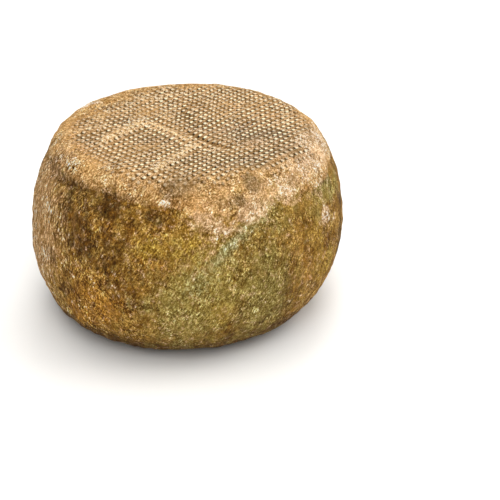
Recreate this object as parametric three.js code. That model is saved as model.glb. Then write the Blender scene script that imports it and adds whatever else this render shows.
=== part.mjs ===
import * as THREE from 'three';
import { mergeVertices } from 'three/addons/utils/BufferGeometryUtils.js';

// A whole aged cheese wheel: one solid, formed in a cloth-lined mould and rounded by its own weight.
// Millimetres, +Z up. The origin is the middle of its box, on the surface that it rests on.

// Driving dimensions.
const DIAMETER = 160; // across the belly
const HEIGHT = 97; // from the base to the rim of the top face

// The half outline follows from them: a flat base, a belly a little below the middle, a sloping
// shoulder and a flat top.
const RADIUS = DIAMETER / 2;
const BELLY_HEIGHT = 0.46 * HEIGHT;
const BASE_RADIUS = 0.54 * RADIUS; // of the flat disc that touches the shelf
const BASE_ROUND = 0.88 * RADIUS; // how far out the base's tangent reaches
const BELLY_DROP = 0.22 * HEIGHT; // how far down the belly's tangent reaches
const BELLY_RISE = 0.3 * HEIGHT; // how far up the belly's tangent reaches
const SHOULDER_ROUND = 0.83 * RADIUS; // how far out the top's tangent reaches
const TOP_RADIUS = 0.71 * RADIUS; // of the pressed top face
const TOP_DISH = 1.2; // the top face is lowest in its middle by this much

// It slumped as it drained: the base and the top sit to one side of the belly.
const BASE_SHIFT = -3.6;
const TOP_SHIFT = 0.3;

// Low lobes round the side: [count per turn, height, angle of the first crest in degrees].
const LOBES = [
  [2, 0.3, 90],
  [3, 0.3, 100],
  [5, 0.2, 15],
];

// Broad hollows in the side: angle from +X in degrees, height, half-widths along and across,
// slope of the long direction in degrees, and depth.
const HOLLOWS = [
  { angle: -66, z: 73, along: 26, across: 7, slope: 35, depth: 2.4 }, // the fold under the shoulder
  { angle: -118, z: 84, along: 30, across: 5, slope: -8, depth: 1.1 }, // the crease of the front rim
  { angle: -150, z: 24, along: 22, across: 12, slope: 20, depth: 1.2 },
  { angle: 55, z: 36, along: 24, across: 14, slope: -25, depth: 1.6 },
  { angle: 140, z: 70, along: 26, across: 10, slope: 10, depth: 1.3 },
];

// Divisions of the mesh: across the round faces, and up the side.
const FACE_STEPS = 20;
const SIDE_STEPS = 16;

const RIND_COLOUR = 0xa27b4a;

const outline = new THREE.CurvePath();
outline.add(new THREE.CubicBezierCurve(
  new THREE.Vector2(BASE_RADIUS, 0),
  new THREE.Vector2(BASE_ROUND, 0),
  new THREE.Vector2(RADIUS, BELLY_HEIGHT - BELLY_DROP),
  new THREE.Vector2(RADIUS, BELLY_HEIGHT),
));
outline.add(new THREE.CubicBezierCurve(
  new THREE.Vector2(RADIUS, BELLY_HEIGHT),
  new THREE.Vector2(RADIUS, BELLY_HEIGHT + BELLY_RISE),
  new THREE.Vector2(SHOULDER_ROUND, HEIGHT),
  new THREE.Vector2(TOP_RADIUS, HEIGHT),
));

// Sideways shift of the section at a height: a parabola through base, belly and top.
function lean(z) {
  const t = z / HEIGHT;
  const bend = 2 * (BASE_SHIFT + TOP_SHIFT);
  const tilt = TOP_SHIFT - BASE_SHIFT - bend;
  return BASE_SHIFT + tilt * t + bend * t * t;
}

// How far the side's surface stands out from the plain outline at an angle and a height.
function relief(angle, z) {
  let out = 0;
  for (const [count, height, crest] of LOBES) {
    out += height * Math.cos(count * (angle - THREE.MathUtils.degToRad(crest)));
  }
  for (const hollow of HOLLOWS) {
    const turn = angle - THREE.MathUtils.degToRad(hollow.angle);
    const round = Math.atan2(Math.sin(turn), Math.cos(turn)) * RADIUS;
    const up = z - hollow.z;
    const slope = THREE.MathUtils.degToRad(hollow.slope);
    const along = round * Math.cos(slope) + up * Math.sin(slope);
    const across = up * Math.cos(slope) - round * Math.sin(slope);
    out -= hollow.depth * Math.exp(-((along / hollow.along) ** 2) - (across / hollow.across) ** 2);
  }
  return out;
}

// Moves a point of the cube from -1 to 1 to its place on the wheel. The cube's top and bottom
// become the round faces, and its four sides become the belt between them.
function toWheel(point) {
  const u = point.x * Math.sqrt(1 - point.y ** 2 / 2);
  const v = point.y * Math.sqrt(1 - point.x ** 2 / 2);
  const share = Math.hypot(u, v);
  const angle = Math.atan2(v, u);
  const section = outline.getPoint((point.z + 1) / 2);
  const fade = Math.sin(Math.PI * (point.z + 1) / 2); // the round faces keep their edges
  const radius = share * section.x + relief(angle, section.y) * fade;
  const dish = point.z === 1 ? TOP_DISH * (1 - share ** 2) : 0;
  point.set(
    radius * Math.cos(angle) + lean(section.y),
    radius * Math.sin(angle),
    section.y - dish,
  );
}

function makeWheel() {
  let geometry = new THREE.BoxGeometry(2, 2, 2, FACE_STEPS, FACE_STEPS, SIDE_STEPS);
  geometry.deleteAttribute('normal');
  geometry.deleteAttribute('uv');
  geometry = mergeVertices(geometry);
  const place = geometry.getAttribute('position');
  const point = new THREE.Vector3();
  for (let i = 0; i < place.count; i++) {
    point.fromBufferAttribute(place, i);
    toWheel(point);
    place.setXYZ(i, point.x, point.y, point.z);
  }
  geometry.computeBoundingBox();
  const middle = geometry.boundingBox.getCenter(new THREE.Vector3());
  geometry.translate(-middle.x, -middle.y, 0);
  geometry.computeVertexNormals();
  return geometry;
}

const rind = new THREE.MeshStandardMaterial({ color: RIND_COLOUR, roughness: 0.85, metalness: 0 });
const wheel = new THREE.Mesh(makeWheel(), rind);
wheel.name = 'cheese_wheel';

const part = new THREE.Group();
part.add(wheel);

export default part;
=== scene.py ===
# %% [markdown]
# # An aged cheese wheel with a cloth-pressed face
#
# The subject is one whole farmhouse wheel. Curd was packed into a cloth, pressed in a round mould, turned
# out and left for months on a shelf. Pressing made the flat face and printed the cloth's weave on it, the
# weight of the soft paste made the belly, and the moulds and yeasts of the cellar made the brown, orange
# and olive rind.
#
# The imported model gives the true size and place. Its frame is in metres. Lengths are worked out here in
# millimetres, as a cheesemaker would, and turned to metres when a shape is stored.

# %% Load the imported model
import math

import bmesh
import bpy
import numpy as np
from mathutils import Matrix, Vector, noise


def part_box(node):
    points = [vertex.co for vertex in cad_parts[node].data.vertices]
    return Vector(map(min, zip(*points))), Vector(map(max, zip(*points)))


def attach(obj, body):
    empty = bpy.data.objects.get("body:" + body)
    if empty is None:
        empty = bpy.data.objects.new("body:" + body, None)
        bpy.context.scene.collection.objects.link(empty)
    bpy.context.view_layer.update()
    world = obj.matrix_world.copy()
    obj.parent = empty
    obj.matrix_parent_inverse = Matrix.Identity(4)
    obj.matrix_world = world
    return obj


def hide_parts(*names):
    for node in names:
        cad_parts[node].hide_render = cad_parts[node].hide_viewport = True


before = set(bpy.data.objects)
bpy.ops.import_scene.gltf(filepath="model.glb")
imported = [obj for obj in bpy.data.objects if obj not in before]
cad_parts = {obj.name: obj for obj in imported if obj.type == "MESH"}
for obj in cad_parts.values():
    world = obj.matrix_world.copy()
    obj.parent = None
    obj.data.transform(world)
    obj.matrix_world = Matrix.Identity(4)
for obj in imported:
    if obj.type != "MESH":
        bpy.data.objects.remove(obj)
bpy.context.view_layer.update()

MM = 0.001
low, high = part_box("cheese_wheel")
RADIUS = (high.x - low.x + high.y - low.y) / 4 / MM
HEIGHT = (high.z - low.z) / MM
print(f"frame: radius {RADIUS:.1f} mm, height {HEIGHT:.1f} mm")

# %% [markdown]
# ## Camera
#
# A product camera stands a little above the wheel, so that the pressed face and the side both show. A real
# one would use a long lens from about 60 cm, which keeps the wheel from looking stretched. It can be placed
# from three plain facts: the point that it looks at, how high it looks down from, and how far away it is.

# %% Camera
LOOK_AT = Vector((32.0, 0.0, 26.1)) * MM
LOOK_DOWN = math.radians(29)
DISTANCE = 620 * MM
FIELD_OF_VIEW = math.radians(24)

lens = bpy.data.cameras.new("camera")
lens.angle = FIELD_OF_VIEW
camera = bpy.data.objects.new("camera", lens)
bpy.context.scene.collection.objects.link(camera)
back = Vector((0, -math.cos(LOOK_DOWN), math.sin(LOOK_DOWN)))
camera.location = LOOK_AT + back * DISTANCE
camera.rotation_euler = (math.pi / 2 - LOOK_DOWN, 0, 0)
bpy.context.scene.camera = camera
print("camera at", tuple(round(c, 3) for c in camera.location))

# %% [markdown]
# ## The blank: a block of curd
#
# The wheel is one closed skin, round at the side and flat at both ends. A lathe-like spin would do, but it
# crowds its quads into a pole in the middle of the face, just where the weave has to be crisp. A cube whose
# sides are cut into a fine grid has no pole. Its top and bottom become the two round faces, and its four
# sides become the belt. The top grid is cut once more, because the weave is the finest thing on the wheel.

# %% Cut the block into a grid
FACE_STEPS = 100
BELT_STEPS = 112
SAME = 1e-6  # heights this close are one height


def flat_edges(bm):
    """Edges that don't climb."""
    return [e for e in bm.edges if abs(e.verts[0].co.z - e.verts[1].co.z) < SAME]


bm = bmesh.new()
bmesh.ops.create_cube(bm, size=2)
flat = set(flat_edges(bm))
upright = [e for e in bm.edges if e not in flat]
bmesh.ops.subdivide_edges(bm, edges=upright, cuts=BELT_STEPS - 1, use_grid_fill=True)
bmesh.ops.subdivide_edges(bm, edges=flat_edges(bm), cuts=FACE_STEPS - 1, use_grid_fill=True)
top_edges = [e for e in bm.edges if all(v.co.z > 1 - SAME for v in e.verts)]
bmesh.ops.subdivide_edges(bm, edges=top_edges, cuts=1, use_grid_fill=True)
wheel_mesh = bpy.data.meshes.new("aged_wheel")
bm.to_mesh(wheel_mesh)
bm.free()

count = len(wheel_mesh.vertices)
block = np.empty(count * 3, np.float32)
wheel_mesh.vertices.foreach_get("co", block)
block = block.reshape(-1, 3).astype(float)
print(f"block: {count} vertices, {len(wheel_mesh.polygons)} faces")

# %% [markdown]
# ## The outline
#
# Half of the wheel's section is a flat base, a round belly a little below the middle, a long sloping
# shoulder and a flat top. A row of measured points could follow it, but it would have small corners. Two
# cubic curves joined at the belly are smooth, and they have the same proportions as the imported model.
# Points are then found by their distance along the outline, which keeps the grid even.

# %% The half outline
BELLY_HEIGHT = 0.46 * HEIGHT
BASE_RADIUS = 0.54 * RADIUS
TOP_RADIUS = 0.71 * RADIUS
# The four handles pull the curves outwards: from the base, below and above the belly, and from the top.
BASE_HANDLE = (0.88 * RADIUS, 0)
LOW_HANDLE = (RADIUS, BELLY_HEIGHT - 0.22 * HEIGHT)
HIGH_HANDLE = (RADIUS, BELLY_HEIGHT + 0.3 * HEIGHT)
TOP_HANDLE = (0.83 * RADIUS, HEIGHT)


def curve(a, b, c, d, steps=200):
    """Points on the cubic curve with these four control points."""
    t = np.linspace(0, 1, steps)[:, None]
    a, b, c, d = (np.array(p, float) for p in (a, b, c, d))
    return (1 - t) ** 3 * a + 3 * (1 - t) ** 2 * t * b + 3 * (1 - t) * t ** 2 * c + t ** 3 * d


belly = (RADIUS, BELLY_HEIGHT)
under = curve((BASE_RADIUS, 0), BASE_HANDLE, LOW_HANDLE, belly)
over = curve(belly, HIGH_HANDLE, TOP_HANDLE, (TOP_RADIUS, HEIGHT))
section = np.vstack([[(0, 0)], under, over[1:], [(0, HEIGHT)]])
travel = np.concatenate([[0], np.cumsum(np.hypot(*np.diff(section, axis=0).T))])
print(f"outline: {travel[-1]:.1f} mm from the middle of the base to the middle of the top")

# %% [markdown]
# ## From block to wheel
#
# A Cast modifier would round the block, but only to a sphere or a plain cylinder. So code moves each point:
# it gets a turn angle, and a distance along the outline. The square faces become discs by a formula that
# keeps their lines smooth. The section then leans by a few millimetres, and the side has
# low lobes and hollows, because a cheese settles unevenly on its shelf. The lean, the lobes and the hollows
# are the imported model's.

# %% Lean, lobes and hollows
BASE_SHIFT = -3.6
TOP_SHIFT = 0.3
LOBES = [(2, 0.3, 90), (3, 0.3, 100), (5, 0.2, 15)]  # how many round the wheel, height, degrees of the first
HOLLOWS = [
    # the columns of ovals(): degrees round, height, half length, half width, slope, depth
    (-66, 73, 26, 7, 35, 2.4),
    (-118, 84, 30, 5, -8, 1.1),
    (-150, 24, 22, 12, 20, 1.2),
    (55, 36, 24, 14, -25, 1.6),
    (140, 70, 26, 10, 10, 1.3),
]


def ovals(marks, angle, z):
    """Soft oval marks on the belt: (degrees round, height, half length, half width, slope, strength)."""
    total = np.zeros(len(z))
    for turn, height, long, short, slope, strength in marks:
        gap = angle - math.radians(turn)
        along = np.arctan2(np.sin(gap), np.cos(gap)) * RADIUS
        up = z - height
        c, s = math.cos(math.radians(slope)), math.sin(math.radians(slope))
        far = ((along * c + up * s) / long) ** 2 + ((up * c - along * s) / short) ** 2
        total += strength * np.exp(-far)
    return total


def lean(z):
    """Sideways shift of the section: a parabola through base, belly and top."""
    t = z / HEIGHT
    bend = 2 * (BASE_SHIFT + TOP_SHIFT)
    return BASE_SHIFT + (TOP_SHIFT - BASE_SHIFT - bend) * t + bend * t * t


print(f"lean, mm: base {lean(0):.1f}, belly {lean(BELLY_HEIGHT):.1f}, top {lean(HEIGHT):.1f}")

# %% Wrap the block on the outline
BASE_REACH = 0.60 * RADIUS  # how much of the outline the block's bottom covers
TOP_REACH = 0.80 * RADIUS  # how much of the outline the block's top covers
TOP_DISH = 1.2  # how far the middle of the top sank

bx, by, bz = block.T
disc_x = bx * np.sqrt(1 - by ** 2 / 2)
disc_y = by * np.sqrt(1 - bx ** 2 / 2)
share = np.hypot(disc_x, disc_y)
angle = np.arctan2(disc_y, disc_x)
is_top = bz > 1 - SAME
is_base = bz < -1 + SAME
belt = travel[-1] - TOP_REACH - BASE_REACH
distance = BASE_REACH + (bz + 1) / 2 * belt
distance = np.where(is_top, travel[-1] - share * TOP_REACH, distance)
distance = np.where(is_base, share * BASE_REACH, distance)
radius = np.interp(distance, travel, section[:, 0])
z = np.interp(distance, travel, section[:, 1])

on_top = z > HEIGHT / 2
climb = np.clip(np.interp(distance, travel[1:-1], np.linspace(0, 1, len(travel) - 2)), 0, 1)
swell = sum(h * np.cos(n * (angle - math.radians(a))) for n, h, a in LOBES)
swell -= ovals(HOLLOWS, angle, z)
radius += swell * np.sin(math.pi * climb)
z -= np.where(on_top, TOP_DISH * np.clip(1 - (radius / TOP_RADIUS) ** 2, 0, 1), 0)
x = radius * np.cos(angle) + lean(z)
y = radius * np.sin(angle)
x += (high.x + low.x) / 2 / MM - (x.max() + x.min()) / 2
y += (high.y + low.y) / 2 / MM - (y.max() + y.min()) / 2
form = np.column_stack([x, y, z])
wheel_mesh.vertices.foreach_set("co", (form * MM).astype(np.float32).ravel())
wheel_mesh.update()
print("plain form, mm:", form.min(0).round(1), form.max(0).round(1))

# %% [markdown]
# ## The cloth and its weave
#
# Cheesecloth has threads every few millimetres. The paste swells through the gaps and stands up as cream
# dots, and each thread leaves a dark channel. The weave could be a tiled picture, but a weave that follows
# the surface needs only two numbers at each point: how many threads lie one way, and how many the other.
# They are kept in a UV map, slightly pulled about, as a wet cloth is. The same numbers raise the dots. The
# cloth was stretched a little on the bias, so its threads don't cross at a right angle.

# %% Lay the cloth
THREAD_SPACING = (3.5, 3.35)
THREAD_TURN = (math.radians(44), math.radians(-39))
CLOTH_PULL = 2.2  # how far the wet cloth was pulled aside
PULL_SIZE = 34  # how wide each pull is


def field(size, seed):
    """Smooth noise from about -1 to 1, with lumps of this size, or of these three sizes along x, y and z."""
    away = Vector((seed * 31.7, seed * 17.3, seed * 9.1))
    points = (form / size).tolist()
    return np.array([noise.noise(Vector(p) + away) for p in points])


def smooth(value, start, end):
    """0 before start, 1 after end, and smooth between."""
    t = np.clip((value - start) / (end - start), 0, 1)
    return t * t * (3 - 2 * t)


spread = np.where(on_top, travel[-1] - distance, distance)
cloth_x = spread * np.cos(angle) + CLOTH_PULL * field(PULL_SIZE, 1)
cloth_y = spread * np.sin(angle) + CLOTH_PULL * field(PULL_SIZE, 2)
weave_u, weave_v = (
    (cloth_x * math.cos(turn) + cloth_y * math.sin(turn)) / spacing
    for turn, spacing in zip(THREAD_TURN, THREAD_SPACING)
)
uv = wheel_mesh.uv_layers.new(name="weave")
corners = np.empty(len(wheel_mesh.loops), np.int32)
wheel_mesh.loops.foreach_get("vertex_index", corners)
uv.data.foreach_set("uv", np.column_stack([weave_u, weave_v])[corners].astype(np.float32).ravel())
print(f"cloth: {2 * TOP_REACH / THREAD_SPACING[0]:.0f} threads across the face")

# %% [markdown]
# ## Folds
#
# The cloth was gathered over the curd before the follower pressed it, so a few folds printed too. Under a
# fold the weave is faint, one side of it is a lit ridge, and the other a dark groove. New edges could be cut
# for them, but a soft wave across a line needs none, and its numbers later tint the fold and paint shade
# into the groove. Each is a straight line on the face, with a half width, a ridge height and a groove depth,
# all in millimetres.

# %% Press the folds
FOLDS = [
    # start x, y; end x, y; half width; ridge; groove
    (-19, 8, 5, -15, 2.8, 0.9, 0.5),
    (-7, 22, 2, -3, 4.0, 0.0, 0.9),
    (0, -6, 18, -26, 2.2, 0.6, 1.3),
    (-19, 8, -38, -22, 3.8, 0.9, 0.3),
    (8, -22, -11, -52, 3.2, 0.8, 0.3),
    (-8, 40, -26, 32, 3.2, 0.5, 0.2),
    (-40, -4, -58, -12, 3.0, 0.6, 0.3),
]
FADE_OUT = 6  # a fold fades this far past its ends
FADE_IN = 4  # and is whole this far inside them
WOBBLE = 0.8  # how far a fold strays from its straight line
RIDGE_SIDE = 0.8  # how far the ridge is from that line, in half widths
GROOVE_SIDE = 0.9  # and the groove, on the other side
FULL_RIDGE = 0.8  # a ridge this high hides the weave as well as any

wobble = WOBBLE * field(9, 3)
fold_rise = np.zeros(count)
fold_band = np.zeros(count)
fold_shade = np.zeros(count)
for x0, y0, x1, y1, wide, ridge, groove in FOLDS:
    run = np.array([x1 - x0, y1 - y0], float)
    length = np.hypot(*run)
    run /= length
    along = (cloth_x - x0) * run[0] + (cloth_y - y0) * run[1]
    across = (cloth_y - y0) * run[0] - (cloth_x - x0) * run[1] + wobble
    ends = smooth(along, -FADE_OUT, FADE_IN) * (1 - smooth(along, length - FADE_IN, length + FADE_OUT))
    lip = np.exp(-((across + RIDGE_SIDE * wide) / wide) ** 2) * ends * on_top
    shade_side = np.exp(-((across - GROOVE_SIDE * wide) / wide) ** 2) * ends * on_top
    fold_rise += ridge * lip - groove * shade_side
    fold_band = np.maximum(fold_band, lip * min(1, ridge / FULL_RIDGE))
    # painted shade in the groove, darker where the groove is deeper
    fold_shade = np.maximum(fold_shade, shade_side * groove)
print(f"folds: {fold_rise.min():.2f} to {fold_rise.max():.2f} mm")

# %% [markdown]
# ## Where the cloth printed
#
# The print is crisp where the cloth pressed hardest, and fades towards the rim, where it was slack. Some
# dots are torn or missing. The map could be painted, but the distance from the middle, with some noise and
# a number for each cell, says the same. It goes from 0 to about 1, for how well each place was pressed. The
# base was pressed by the same cloth, before the wheel was turned over.

# %% Map the print
PRINT_RADIUS = 63
PRINT_FADE = (0.78, 1.03)  # in shares of that radius
RIM_RAG = 0.09  # how far the print's edge strays, in the same shares
# How much slacker or tighter the cloth was at the rim, in the columns of ovals():
SLACK = [(135, 90, 45, 60, 0, 0.14), (-32, 90, 34, 60, 0, -0.07), (-102, 90, 32, 60, 0, -0.07)]
BASE_PRINT = 0.7
BASE_FADE = (40, 46)
DOT_POWER = 2.6  # 2 gives round dots, and more gives squarer ones
DOT_FLANK = (0.12, 0.37)  # where a dot's side starts and ends, in shares of a cell from its middle
HASH = (12.9898, 78.233, 43758.5453)  # scatters the cells' numbers, and is the same in each run

cell_u = np.floor(weave_u)
cell_v = np.floor(weave_v)
luck = np.abs(np.sin(cell_u * HASH[0] + cell_v * HASH[1]) * HASH[2]) % 1
rim = np.hypot(cloth_x - 1, cloth_y) / PRINT_RADIUS + RIM_RAG * field(15, 5) + ovals(SLACK, angle, z)
pressed = (1 - smooth(rim, *PRINT_FADE)) * np.clip(0.9 + 0.8 * field(13, 4), 0.2, 1)
pressed *= 1 - 0.6 * fold_band  # fainter under a fold
pressed *= 0.65 + 0.55 * luck  # no two dots the same
pressed *= 1 - 0.2 * smooth(-cloth_x, 5, 40)  # a little fainter on the left half
pressed = np.where(on_top, pressed, (1 - smooth(spread, *BASE_FADE)) * BASE_PRINT)
inner_u = np.abs(weave_u - cell_u - 0.5)
inner_v = np.abs(weave_v - cell_v - 0.5)
from_dot = (inner_u ** DOT_POWER + inner_v ** DOT_POWER) ** (1 / DOT_POWER)
dot = 1 - smooth(from_dot, *DOT_FLANK)
print(f"print: {np.mean(pressed[on_top] > 0.5):.0%} of the top's points are well pressed")

# %% [markdown]
# ## Relief of the rind
#
# The rest of the rind is rough, with the pits and low welts that an ageing skin gets. At the crown, where
# the face turns into the belt, a thicker skin ends in a ragged lip, and a crease runs under part of it. On
# one side the rind was brushed up and down, so its welts are combed. Bump could draw all this, but its
# outline would stay smooth. So shape that the eye can see is moved in the mesh, along its normals, and only
# the grain, a quarter of a millimetre deep, is left to the material. The base has the same print, but it
# lies flat on the shelf, so its relief only goes inwards.

# %% The crown
CROWN_HEIGHT = 88
# Where its edge hangs lower, in the columns of ovals():
CROWN_DROPS = [(-76, 88, 26, 60, 0, 5), (-24, 88, 34, 60, 0, 8), (60, 88, 60, 60, 0, 2)]
RAGS = [(9, 1.4, 10), (3.4, 1, 20)]  # size, height and seed of the rags along its edge
WANDER_SIZE = 22
WANDER = 3  # how far the edge wanders on the back
LIP_BLUR = (-0.9, 1.1)  # the crown starts and is whole this far from its edge
STEEP = (0.75, 0.97)  # the height part of a normal, from the belt's to the faces'
COMBED_FROM = (112, 146)  # degrees round, clockwise, between which the combing starts

normal = np.empty(count * 3, np.float32)
wheel_mesh.vertices.foreach_get("normal", normal)
normal = normal.reshape(-1, 3).astype(float)
side = 1 - smooth(np.abs(normal[:, 2]), *STEEP)
edge = CROWN_HEIGHT - ovals(CROWN_DROPS, angle, z)
edge += sum(tall * field(size, seed) for size, tall, seed in RAGS)
edge += WANDER * field(WANDER_SIZE, 23) * smooth(np.sin(angle), -0.5, 0.2)
crown = smooth(z, edge + LIP_BLUR[0], edge + LIP_BLUR[1])
combed = smooth(-np.degrees(angle), *COMBED_FROM) * side
print(f"crown: its edge is {edge.min():.0f} to {edge.max():.0f} mm up")

# %% Raise the dots and the welts
WELTS = [(11, 0.6, 6), (5.5, 0.42, 7), (2.8, 0.26, 8)]  # size, height, seed
COMBED_WELT = 0.5
COMBED_SIZE = (3, 3, 11)
DOT_RISE = 0.38
DOT_FOOT = 0.35  # the share of the rise that goes to sinking the threads
SETTLING = 0.45
SETTLING_SIZE = 24
CREASE = [(-146, 86.5, 40, 1.8, 2, 1), (-106, 86.5, 30, 1.8, -2, 1)]  # in the columns of ovals()
CREASE_DEPTH = 0.9
CREASE_CHANGE = 0.6  # how much that depth comes and goes
CROWN_LIP = 0.5
BASE_SINK = 0.6
BASE_DOTS = 0.5
BASE_EDGE = 6  # below this height the relief only goes inwards

welts = sum(tall * field(size, seed) for size, tall, seed in WELTS)
welts += COMBED_WELT * combed * field(COMBED_SIZE, 21)
rise = DOT_RISE * (dot - DOT_FOOT) * pressed + fold_rise
rise += welts * (0.3 + 0.7 * side) + SETTLING * field(SETTLING_SIZE, 9)
crease = ovals(CREASE, angle, z + 1.3 * field(7, 15))
rise += CROWN_LIP * crown * side - crease * (CREASE_DEPTH + CREASE_CHANGE * field(5, 16))
inwards = np.minimum(rise - BASE_SINK, 0) * smooth(z, -1, BASE_EDGE)
rise = np.where(on_top | (z > BASE_EDGE), rise, inwards)
shape = form + normal * rise[:, None]
shape[:, 2] += np.where(z < 0.5, (1 - dot) * pressed * BASE_DOTS, 0)
shape[:, 2] = np.maximum(shape[:, 2], 0)
wheel_mesh.vertices.foreach_set("co", (shape * MM).astype(np.float32).ravel())
for polygon in wheel_mesh.polygons:
    polygon.use_smooth = True
wheel_mesh.update()
wheel = bpy.data.objects.new("aged_wheel", wheel_mesh)
bpy.context.scene.collection.objects.link(wheel)
print("finished form, mm:", shape.min(0).round(1), shape.max(0).round(1))

# %% [markdown]
# ## Where each mould grows
#
# A natural rind is a map of the cellar's moulds. Brown rind grows everywhere, dark umber where the skin
# stayed damp, orange yeast and gold in patches, olive and mint moulds on the side that faced the next
# cheese, grey ash moulds on the face, dry dust where the rind was brushed, and a pale bloom on the
# shoulders. The dark brown map also holds painted shade: under the crown's lip, towards the shelf, and a
# painted shadow on the right of the front, such as a neighbouring wheel casts. The moulds could be left to
# noise alone, but real stains have places. So the front's are set one by one, in degrees round and
# millimetres up, and only the back's grow from noise. Each map is a number at each point, 0 for none and
# about 1 for a whole patch.

# %% Stains on the belt
BELT_STAINS = {
    # the columns of ovals(): degrees round, height, half length, half width, slope, strength
    # Some of these dark marks are painted shade, not mould: the two at -150 and -156 degrees lie along the
    # crease under the crown's lip, the one at -135 degrees is low by the shelf, and the two at -58 and -60
    # degrees are a painted shadow, such as a neighbouring wheel casts.
    "umber_and_shade": [
        (-150, 86.5, 30, 3, 3, 0.9), (-118, 85, 9, 5, -4, 0.6), (-100, 82.5, 6, 4, 0, 1.0),
        (-156, 87, 8, 5, 0, 1.2), (-135, 8, 16, 6, 0, 0.6), (-108, 88, 7, 3, 0, 0.4),
        (-91, 46, 7, 16, 0, 0.4), (-137, 78, 3.5, 9, 0, 0.9), (-122, 61, 19, 6, 0, 0.5),
        (-143, 52, 5, 4, 0, 0.8),
        (-133, 31, 7, 5, 30, 0.4), (-112, 44, 6, 9, 30, 0.5), (-128, 70, 10, 8, 0, 0.3),
        (-60, 60, 12, 20, 10, 0.5), (-58, 32, 20, 22, 0, 0.7), (-101, 55, 9, 6, 0, 0.45),
        (-94, 24, 4, 7, 0, 0.5), (-117, 49, 6, 5, 0, 0.4), (-108, 78, 5, 6, 0, 0.35),
        (-130, 75, 9, 9, 0, 0.6), (-134, 40, 10, 9, 0, 0.25), (-117, 81, 3.5, 8, 0, 0.9),
        (-117, 72, 11, 7, 0, 0.5), (-106, 40, 5, 9, 0, 0.4), (-99, 43, 6, 6, 0, 0.35),
        (-97, 65, 5, 7, 0, 0.4), (-78, 24, 18, 9, 0, 0.4),
    ],
    "orange": [
        (-117, 40, 12, 12, -20, 0.75), (-127, 28, 16, 10, 20, 0.7), (-128, 48, 14, 9, 0, 0.4),
        (-120, 74, 26, 8, 0, 0.4), (-150, 92, 50, 5, 0, 0.2), (-92, 88, 22, 5, 0, 0.5),
        (-98, 56, 10, 14, 0, 0.4),
    ],
    "gold": [
        (-101, 69, 6, 5, 0, 0.9), (-87, 69, 9, 7, 0, 1.0), (-76, 36, 5, 16, 0, 0.9),
        (-80, 68, 6, 6, 0, 0.7), (-84, 52, 16, 18, 0, 0.4), (-50, 88, 26, 5, 0, 0.4),
    ],
    "olive": [
        (-88, 38, 20, 26, 0, 0.9), (-76, 58, 10, 16, 0, 0.4), (-60, 44, 16, 32, 0, 0.8),
        (-52, 80, 14, 6, 0, 0.5),
    ],
    "dust": [
        (-156, 60, 24, 26, 0, 1.1), (-163, 30, 16, 20, 0, 0.6), (-94, 28, 11, 11, 0, 0.15),
        (-170, 75, 20, 14, 0, 0.5), (-84, 66, 9, 8, 0, 0.2),
    ],
    "mint": [
        (-71, 69.5, 11, 3, 40, 0.9), (-62, 76, 7, 2.2, 20, 0.5), (-78, 62, 7, 3, 35, 0.5),
        (-84, 52, 8, 7, 30, 0.4),
    ],
    "bloom": [
        (-77, 77.5, 13, 5, -6, 0.45), (-95, 88.5, 3, 2.5, 0, 0.8), (-62, 81.5, 8, 4, 6, 0.9),
        (-82, 83, 5, 4, 0, 0.4), (-81, 68, 5, 5, 0, 0.25), (-46, 84, 6, 4, 0, 0.5),
        (-52, 88, 14, 5, 0, 0.4), (-15, 92, 34, 7, 0, 1.1), (-152, 95, 14, 3, 0, 0.3),
    ],
    "ash": [
        (-60, 92.5, 4.5, 3, 0, 2.2), (-67, 87, 2.8, 2.2, 0, 1.8), (-73, 88, 8, 3.5, 0, 0.7),
        (-42, 89, 6, 3, 0, 0.5), (-92, 92, 13, 3.5, 0, 0.7),
    ],
    # Not stains: where the grain is combed up and down, and where it lies in curls.
    "combed": [(-128, 18, 24, 14, 0, 0.6)],
    "curled": [(-124, 42, 26, 30, 0, 1.0)],
}
moulds = {name: ovals(marks, angle, z) for name, marks in BELT_STAINS.items()}
moulds["combed"] += combed
print(f"belt: {sum(len(marks) for marks in BELT_STAINS.values())} marks")

# %% Stains on the face
FACE_STAINS = {
    # x, y, half length, half width, slope, strength
    "umber_and_shade": [(-8, -60, 13, 4, 0, 0.4), (14, -61, 8, 3, 0, 0.3)],
    "orange": [
        (-30, 38, 14, 8, 40, 0.3), (-31, -18, 9, 5, 60, 0.8), (-42, -30, 12, 7, -40, 0.7),
        (9, -15, 12, 3, -48, 0.8), (18, -32, 8, 4, -45, 0.5), (-20, 12, 6, 5, 0, 0.7),
        (-52, 8, 7, 22, 0, 0.5), (-45, 30, 8, 14, 30, 0.25), (-41, -11, 9, 8, 0, 0.8),
    ],
    "ash": [
        (-2, 16, 6, 12, -20, 0.6), (-15, -17, 12, 12, 40, 0.6), (8, -42, 13, 11, 15, 0.6),
        (-47, -16, 7, 7, 0, 0.7), (42, -9, 12, 10, 0, 0.9), (34, -36, 14, 10, 30, 0.6),
        (16, -2, 20, 13, -40, 0.45), (-36, 8, 10, 7, 20, 0.4), (1, -62, 6, 4, 0, 0.9),
        (50, -29, 9, 7, 0, 0.7), (30, -11, 10, 7, 0, 0.35), (37, -45, 6, 5, 0, 0.6),
        (12, 45, 26, 12, 0, 0.1),
    ],
}


def spots(marks):
    """Soft oval marks on the top face: (x, y, half length, half width, slope, strength)."""
    total = np.zeros(count)
    for mx, my, long, short, slope, strength in marks:
        c, s = math.cos(math.radians(slope)), math.sin(math.radians(slope))
        along = (x - mx) * c + (y - my) * s
        across = (y - my) * c - (x - mx) * s
        total += strength * np.exp(-((along / long) ** 2) - (across / short) ** 2)
    return total * on_top


for name, marks in FACE_STAINS.items():
    moulds[name] += spots(marks)
print(f"face: {sum(len(marks) for marks in FACE_STAINS.values())} marks")
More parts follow.
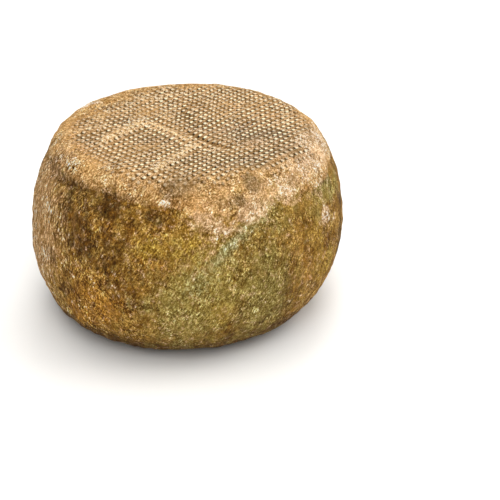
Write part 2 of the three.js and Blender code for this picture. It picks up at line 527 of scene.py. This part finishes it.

# %% Growth on the back, and painted shade at the foot
FRONT = math.radians(-115)
BACK_STARTS = (-0.1, 0.45)  # cosines of the turn away from the front
BACK_GROWTH = {
    # patch size in millimetres, seed, extra cover, strength, kept off the crown
    "umber_and_shade": (22, 11, 0.1, 1, True),
    "orange": (26, 12, 0.1, 1, False),
    "gold": (24, 17, 0, 1, True),
    "olive": (24, 13, 0.05, 1, True),
    "dust": (28, 18, 0, 1, False),
    "bloom": (20, 14, 0, 0.8, False),
    "combed": (30, 19, 0.1, 1, False),
    "curled": (30, 22, 0.1, 1, False),
}
PAINTED_FOOT_SHADE = 1.3  # painted shade: the belt darkens towards the shelf
DAMP_CURLS = 0.18  # umber between the curls
MOST = 1.5  # the strongest that a map may be

behind = 1 - smooth(np.cos(angle - FRONT), *BACK_STARTS)
below = 1 - crown
for name, (size, seed, amount, strength, off_crown) in BACK_GROWTH.items():
    patch = field(size, seed) + 0.5 * field(size / 2.3, seed + 40)  # lumps, and finer lumps on them
    patch = smooth(patch, 0.25 - amount, 0.75 - amount) * behind
    moulds[name] += strength * patch * (below if off_crown else 1)
# Painted shade: the belt grows darker towards the shelf.
moulds["umber_and_shade"] += PAINTED_FOOT_SHADE * (1 - smooth(z, 6, 24)) * smooth(z, 0, 1) + DAMP_CURLS * moulds["curled"]
moulds.update(crown=crown, pressed=pressed, fold=fold_band, shade=fold_shade)
for name, amount in moulds.items():
    layer = wheel_mesh.attributes.new(name, "FLOAT", "POINT")
    layer.data.foreach_set("value", np.clip(amount, 0, MOST).astype(np.float32))
    print(f"{name}: mean {np.mean(amount):.2f}")

# %% [markdown]
# ## The rind's finish
#
# A natural rind is dried paste, a felt of mould threads and yeast, brushed now and then during ageing. It is
# matt and slightly dusty, and its colour changes at three sizes: stains centimetres wide, mottling of a few
# millimetres, and a grain of pale threads and dark pits about a millimetre wide. One flat colour with bump
# would look like clay. So each mould's map is broken up by noise and laid over the last, as it grew.

# %% Colours
def linear(code):
    """A colour from its sRGB hex code."""
    parts = [int(code[i:i + 2], 16) / 255 for i in (1, 3, 5)]
    return tuple(p / 12.92 if p <= 0.04045 else ((p + 0.055) / 1.055) ** 2.4 for p in parts) + (1,)


RIND_BROWN = linear("#6E480F")
RIND_TAN = linear("#A47C34")
MOULDS = {
    # colour, thickest cover, size in millimetres of the ragged bits at the edge, and what their heights are
    # multiplied by before the noise is read, so that 0.5 makes them twice as tall
    "crown": (linear("#CB9C61"), 0.9, 2.5, 1.0),
    "umber_and_shade": (linear("#452A08"), 0.92, 4, 0.5),
    "orange": (linear("#9E681F"), 0.7, 3.5, 1.0),
    "gold": (linear("#9C7A2A"), 0.75, 4, 1.0),
    "olive": (linear("#8E7B3C"), 0.8, 5, 0.6),
    "dust": (linear("#B88C58"), 0.85, 2.4, 0.5),
    "mint": (linear("#A3A270"), 0.5, 2.0, 1.0),
    "bloom": (linear("#E6BC90"), 0.85, 3, 1.0),
}
CHANNEL_BROWN = linear("#A58052")
ASH_GREY = linear("#5C4C34")
DOT_CREAM = linear("#FFF0CE")
FOLD_TAN = linear("#DCB27E")
print(f"colours: {len(MOULDS)} layers over two browns")

# %% A helper that adds nodes
rind = bpy.data.materials.new("natural_rind_brushed")
rind.use_nodes = True
tree = rind.node_tree
tree.nodes.clear()
FACTOR, FIRST, SECOND, MIXED = 0, 6, 7, 2  # the colour sockets of a Mix node


def add(kind, sockets=None, **settings):
    """Adds a node, with its settings, and with its sockets set or linked."""
    made = tree.nodes.new(kind)
    for key, value in settings.items():
        setattr(made, key, value)
    for key, value in (sockets or {}).items():
        if isinstance(value, bpy.types.NodeSocket):
            tree.links.new(value, made.inputs[key])
        else:
            made.inputs[key].default_value = value
    return made


def per(size):
    """Texture scale for features of this size in millimetres."""
    return 1 / (size * MM)


place = add("ShaderNodeTexCoord").outputs["Object"]
maps = {name: add("ShaderNodeAttribute", attribute_name=name).outputs["Fac"] for name in moulds}
print(f"maps: {', '.join(maps)}")

# %% [markdown]
# ## Mottling and moulds
#
# Two browns are mixed by noise for the bare rind. One noise with a colour ramp could colour the moulds too,
# but all patches would then be of one kind. So each mould is laid over the browns where its own map plus
# some noise passes a threshold, which gives the ragged, speckled edges that real patches have. A layer's
# noise is moved aside from the last one's, so that their edges don't follow each other.

# %% Lay the moulds
MOTTLE_SIZE = 7
RAGGEDNESS = 1.8  # how much the noise adds to a map
COVERS = (1.0, 1.7)  # a mould starts at the first sum, and is at its thickest at the second

mottle = add("ShaderNodeTexNoise", {"Vector": place, "Scale": per(MOTTLE_SIZE), "Detail": 5,
                                    "Roughness": 0.65}).outputs["Fac"]
blend = add("ShaderNodeMapRange", {"Value": mottle, "From Min": 0.38, "From Max": 0.62}).outputs["Result"]
colour = add("ShaderNodeMix", {FACTOR: blend, FIRST: RIND_BROWN, SECOND: RIND_TAN},
             data_type="RGBA").outputs[MIXED]
for step, (name, (tint, most, size, shrink)) in enumerate(MOULDS.items()):
    moved = add("ShaderNodeMapping", {"Vector": place, "Location": (0.1 * step, 0.07, 0.03),
                                      "Scale": (1, 1, shrink)}).outputs["Vector"]
    ragged = add("ShaderNodeTexNoise", {"Vector": moved, "Scale": per(size), "Detail": 4,
                                        "Roughness": 0.65}).outputs["Fac"]
    reach = add("ShaderNodeMath", {0: ragged, 1: RAGGEDNESS, 2: maps[name]},
                operation="MULTIPLY_ADD").outputs["Value"]
    cover = add("ShaderNodeMapRange", {"Value": reach, "From Min": COVERS[0], "From Max": COVERS[1],
                                       "To Max": most}).outputs["Result"]
    colour = add("ShaderNodeMix", {FACTOR: cover, FIRST: colour, SECOND: tint},
                 data_type="RGBA").outputs[MIXED]
print(f"moulds: {len(tree.nodes)} nodes so far")

# %% [markdown]
# ## The printed face
#
# The face is paler than the side. Its dots come from the weave's own numbers: a cell texture with hardly any
# randomness puts one dot in each gap of the cloth, and its cell colour makes each dot a little different.
# Light comes from behind, so each dot has a painted shadow, a dark crescent beside it. A second copy of the
# texture, moved by a third of a cell, paints that. Ash mould then greys some patches, and a fold leaves a
# pale, bare band.

# %% Print the weave and each dot's painted shadow
SHADE_SHIFT = 0.3  # from a dot to its painted shadow, a dark crescent, in shares of a cell
DOT_EDGE = (0.3, 0.15)  # a dot starts at the first distance from its middle, and is whole at the second
DOT_LUCK = (0.7, 1.5)  # how pale the poorest and the best dots are

weave = add("ShaderNodeUVMap", uv_map="weave").outputs["UV"]
prints = {}
# The second copy, moved aside, is the painted shadow beside each dot.
for name, shift in {"dot": 0, "shade_side": SHADE_SHIFT}.items():
    moved = add("ShaderNodeMapping", {"Vector": weave, "Location": (shift, 0, 0)}).outputs["Vector"]
    cells = add("ShaderNodeTexVoronoi", {"Vector": moved, "Scale": 1, "Exponent": 2.4, "Randomness": 0.14},
                voronoi_dimensions="2D", distance="MINKOWSKI")
    spot = add("ShaderNodeMapRange", {"Value": cells.outputs["Distance"], "From Min": DOT_EDGE[0],
                                      "From Max": DOT_EDGE[1]}, interpolation_type="SMOOTHSTEP")
    prints[name] = add("ShaderNodeMath", {0: spot.outputs["Result"], 1: maps["pressed"]},
                       operation="MULTIPLY").outputs["Value"]
    if name == "dot":
        chance = add("ShaderNodeSeparateColor", {"Color": cells.outputs["Color"]}).outputs["Red"]
        chance = add("ShaderNodeMapRange", {"Value": chance, "To Min": DOT_LUCK[0],
                                            "To Max": DOT_LUCK[1]}).outputs["Result"]
print(f"print: {len(tree.nodes)} nodes so far")

# %% Tint the face
CHANNEL_COVER = 0.9
ASH_COVER = 0.6
FOLD_COVER = 0.8

channel = add("ShaderNodeMapRange", {"Value": maps["pressed"], "From Max": 0.6,
                                     "To Max": CHANNEL_COVER}).outputs["Result"]
colour = add("ShaderNodeMix", {FACTOR: channel, FIRST: colour, SECOND: CHANNEL_BROWN},
             data_type="RGBA").outputs[MIXED]
ash = add("ShaderNodeMath", {0: mottle, 1: 1.6, 2: maps["ash"]}, operation="MULTIPLY_ADD").outputs["Value"]
ash = add("ShaderNodeMapRange", {"Value": ash, "From Min": 0.85, "From Max": 1.8,
                                 "To Max": ASH_COVER}).outputs["Result"]
colour = add("ShaderNodeMix", {FACTOR: ash, FIRST: colour, SECOND: ASH_GREY},
             data_type="RGBA").outputs[MIXED]
fold = add("ShaderNodeMath", {0: maps["fold"], 1: FOLD_COVER}, operation="MULTIPLY").outputs["Value"]
colour = add("ShaderNodeMix", {FACTOR: fold, FIRST: colour, SECOND: FOLD_TAN},
             data_type="RGBA").outputs[MIXED]
print(f"face: {len(tree.nodes)} nodes so far")

# %% [markdown]
# ## Grain
#
# Mould threads lie in short curls, paler than the rind under them, with dark pits between. Real grain makes
# the colour under it lighter or darker by a factor, and doesn't replace it. So noises of several sizes are
# added up, and the sum is turned into a factor by the exponential function. A noise stretched along the
# height, or turned and stretched, gives threads that lie one way, as they do where the rind was brushed. A
# strand is the thin line where a noise crosses its middle value, which makes curls. So for strands the
# distance from that value is taken from a strand's width, and what is left stands out from the rest.

# %% Grain and strands
GRAIN = [
    # size in millimetres, stretch along the threads, their lean in degrees, distortion, strength,
    # strand width or None for plain noise, and the map that says where or None for everywhere
    (0.6, 1, 0, 0.6, 3.0, None, None),
    (0.7, 3.5, 28, 0.5, 3.3, None, None),
    (0.9, 7, 0, 0.2, 4.2, None, "combed"),
    (2.4, 1, 0, 2.0, 1.4, None, "curled"),
    (1.7, 1, 0, 1.6, 1.2, None, None),
    (4.0, 1, 0, 0.8, 1.7, None, None),
    (2.6, 2.2, -34, 1.8, 8.0, 0.082, "curled"),
    (1.8, 1.5, 24, 1.6, 3.0, 0.082, None),
]
grain = 0.0
for size, stretch, lean_by, twist, strength, strand, where in GRAIN:
    along = add("ShaderNodeMapping", {"Vector": place, "Rotation": (0, math.radians(lean_by), 0),
                                      "Scale": (1, 1, stretch)}, vector_type="TEXTURE").outputs["Vector"]
    level = add("ShaderNodeTexNoise", {"Vector": along, "Scale": per(size), "Detail": 1,
                                       "Distortion": twist}).outputs["Fac"]
    level = add("ShaderNodeMath", {0: level, 1: 0.5}, operation="SUBTRACT").outputs["Value"]
    if strand:
        level = add("ShaderNodeMath", {0: level}, operation="ABSOLUTE").outputs["Value"]
        level = add("ShaderNodeMath", {0: strand, 1: level}, operation="SUBTRACT").outputs["Value"]
    if where:
        level = add("ShaderNodeMath", {0: level, 1: maps[where]}, operation="MULTIPLY").outputs["Value"]
    grain = add("ShaderNodeMath", {0: level, 1: strength, 2: grain},
                operation="MULTIPLY_ADD").outputs["Value"]
rough = add("ShaderNodeTexNoise", {"Vector": place, "Scale": per(11), "Detail": 2}).outputs["Fac"]
rough = add("ShaderNodeMapRange", {"Value": rough, "From Min": 0.3, "From Max": 0.7, "To Min": 0.6,
                                   "To Max": 1.4}).outputs["Result"]
grain = add("ShaderNodeMath", {0: grain, 1: rough}, operation="MULTIPLY").outputs["Value"]
print(f"grain: {len(GRAIN)} noises, {len(tree.nodes)} nodes so far")

# %% [markdown]
# ## Surface
#
# The grain, the painted shadows beside the dots and the painted shade in the grooves of the folds darken the
# colour together, and the cream dots go on last, because they are clean paste that stands above the mould.
# The index of refraction stays at 1.5, a usual value for dried paste, but a dry felt scatters its shine, so
# the rind is rough and its specular level is low. The grain is also its bump, too shallow to need the mesh.

# %% Shade, dots and surface
TONE = (0.85, 1.0, 1.38)  # a pit is a redder brown than the skin, and a thread is a whiter one
# painted shadow: how much the dark crescent beside each dot darkens the colour
PAINTED_DOT_SHADOW = -3.7
# painted shade: how much the folds' grooves darken the colour
PAINTED_GROOVE_SHADE = -0.3
PALEST = 0.9  # no cheese is whiter than this
DOT_BUMP = 1.5
GRAIN_DEPTH = 0.25 * MM
RIND_ROUGHNESS = 0.8
RIND_SHINE = 0.08

dark = add("ShaderNodeMath", {0: prints["shade_side"], 1: PAINTED_DOT_SHADOW, 2: grain}, operation="MULTIPLY_ADD")
dark = add("ShaderNodeMath", {0: maps["shade"], 1: PAINTED_GROOVE_SHADE, 2: dark.outputs["Value"]},
           operation="MULTIPLY_ADD").outputs["Value"]
tone = add("ShaderNodeVectorMath", {0: TONE, "Scale": dark}, operation="SCALE").outputs["Vector"]
tone = add("ShaderNodeVectorMath", {0: (math.e,) * 3, 1: tone}, operation="POWER").outputs["Vector"]
colour = add("ShaderNodeVectorMath", {0: colour, 1: tone}, operation="MULTIPLY").outputs["Vector"]
printed = add("ShaderNodeMath", {0: prints["dot"], 1: chance}, operation="MULTIPLY",
              use_clamp=True).outputs["Value"]
colour = add("ShaderNodeMix", {FACTOR: printed, FIRST: colour, SECOND: DOT_CREAM},
             data_type="RGBA").outputs[MIXED]
colour = add("ShaderNodeVectorMath", {0: colour, 1: (PALEST,) * 3}, operation="MINIMUM").outputs["Vector"]
height = add("ShaderNodeMath", {0: printed, 1: DOT_BUMP, 2: grain},
             operation="MULTIPLY_ADD").outputs["Value"]
bump = add("ShaderNodeBump", {"Height": height, "Strength": 1.0, "Distance": GRAIN_DEPTH}).outputs["Normal"]
skin = add("ShaderNodeBsdfPrincipled", {"Base Color": colour, "Roughness": RIND_ROUGHNESS,
                                        "Specular IOR Level": RIND_SHINE, "Normal": bump})
add("ShaderNodeOutputMaterial", {"Surface": skin.outputs["BSDF"]})
wheel_mesh.materials.append(rind)
print(f"rind: {len(tree.nodes)} nodes")

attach(wheel, "root")
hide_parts("cheese_wheel")

# %% [markdown]
# ## Floor and light
#
# The wheel stands on a white studio sweep. A broad softbox overhead lights the face and leaves a soft shadow
# all round. One behind rakes across the face, which shows the weave. One in front and one at the right fill
# the side, and so do the white surroundings. One lamp could light the wheel, but its shadow would be hard,
# and half of the rind would be lost in it.

# %% Floor
FLOOR_HALF = 3.0
PAPER_WHITE = linear("#F6F5F2")
PAPER_ROUGHNESS = 0.9

bm = bmesh.new()
bmesh.ops.create_grid(bm, x_segments=1, y_segments=1, size=FLOOR_HALF)
floor_mesh = bpy.data.meshes.new("floor")
bm.to_mesh(floor_mesh)
bm.free()
floor = bpy.data.objects.new("floor", floor_mesh)
bpy.context.scene.collection.objects.link(floor)
paper = bpy.data.materials.new("white_paper_sweep")
paper.use_nodes = True
tree = paper.node_tree
tree.nodes.clear()
sheet = add("ShaderNodeBsdfPrincipled", {"Base Color": PAPER_WHITE, "Roughness": PAPER_ROUGHNESS})
add("ShaderNodeOutputMaterial", {"Surface": sheet.outputs["BSDF"]})
floor_mesh.materials.append(paper)
print(f"floor: {2 * FLOOR_HALF:.0f} m square")

# %% Light
SURROUNDINGS = 0.25
WHEEL_LOW = (0, 0, 0.03)
SOFTBOXES = [
    # name, place, aim, side in metres, power in watts
    ("overhead", (0, 0, 1.2), (0, 0, 0), 1.2, 10),
    ("front_fill", (0, -1.0, 1.0), WHEEL_LOW, 0.8, 9.5),
    ("back_rake", (0.1, 0.8, 1.0), WHEEL_LOW, 0.7, 5),
    ("right_fill", (1.0, 0, 0.9), WHEEL_LOW, 0.8, 6),
]
world = bpy.data.worlds.new("studio")
world.use_nodes = True
sky = world.node_tree.nodes["Background"]
sky.inputs["Color"].default_value = (1, 1, 1, 1)
sky.inputs["Strength"].default_value = SURROUNDINGS
bpy.context.scene.world = world
for name, stand, aim, size, power in SOFTBOXES:
    light = bpy.data.lights.new(name, "AREA")
    light.size = size
    light.energy = power
    lamp = bpy.data.objects.new(name, light)
    lamp.location = stand
    lamp.rotation_euler = (Vector(aim) - Vector(stand)).to_track_quat("-Z", "Y").to_euler()
    bpy.context.scene.collection.objects.link(lamp)
bpy.context.scene.view_settings.view_transform = "Standard"
print(f"light: {len(SOFTBOXES)} softboxes")
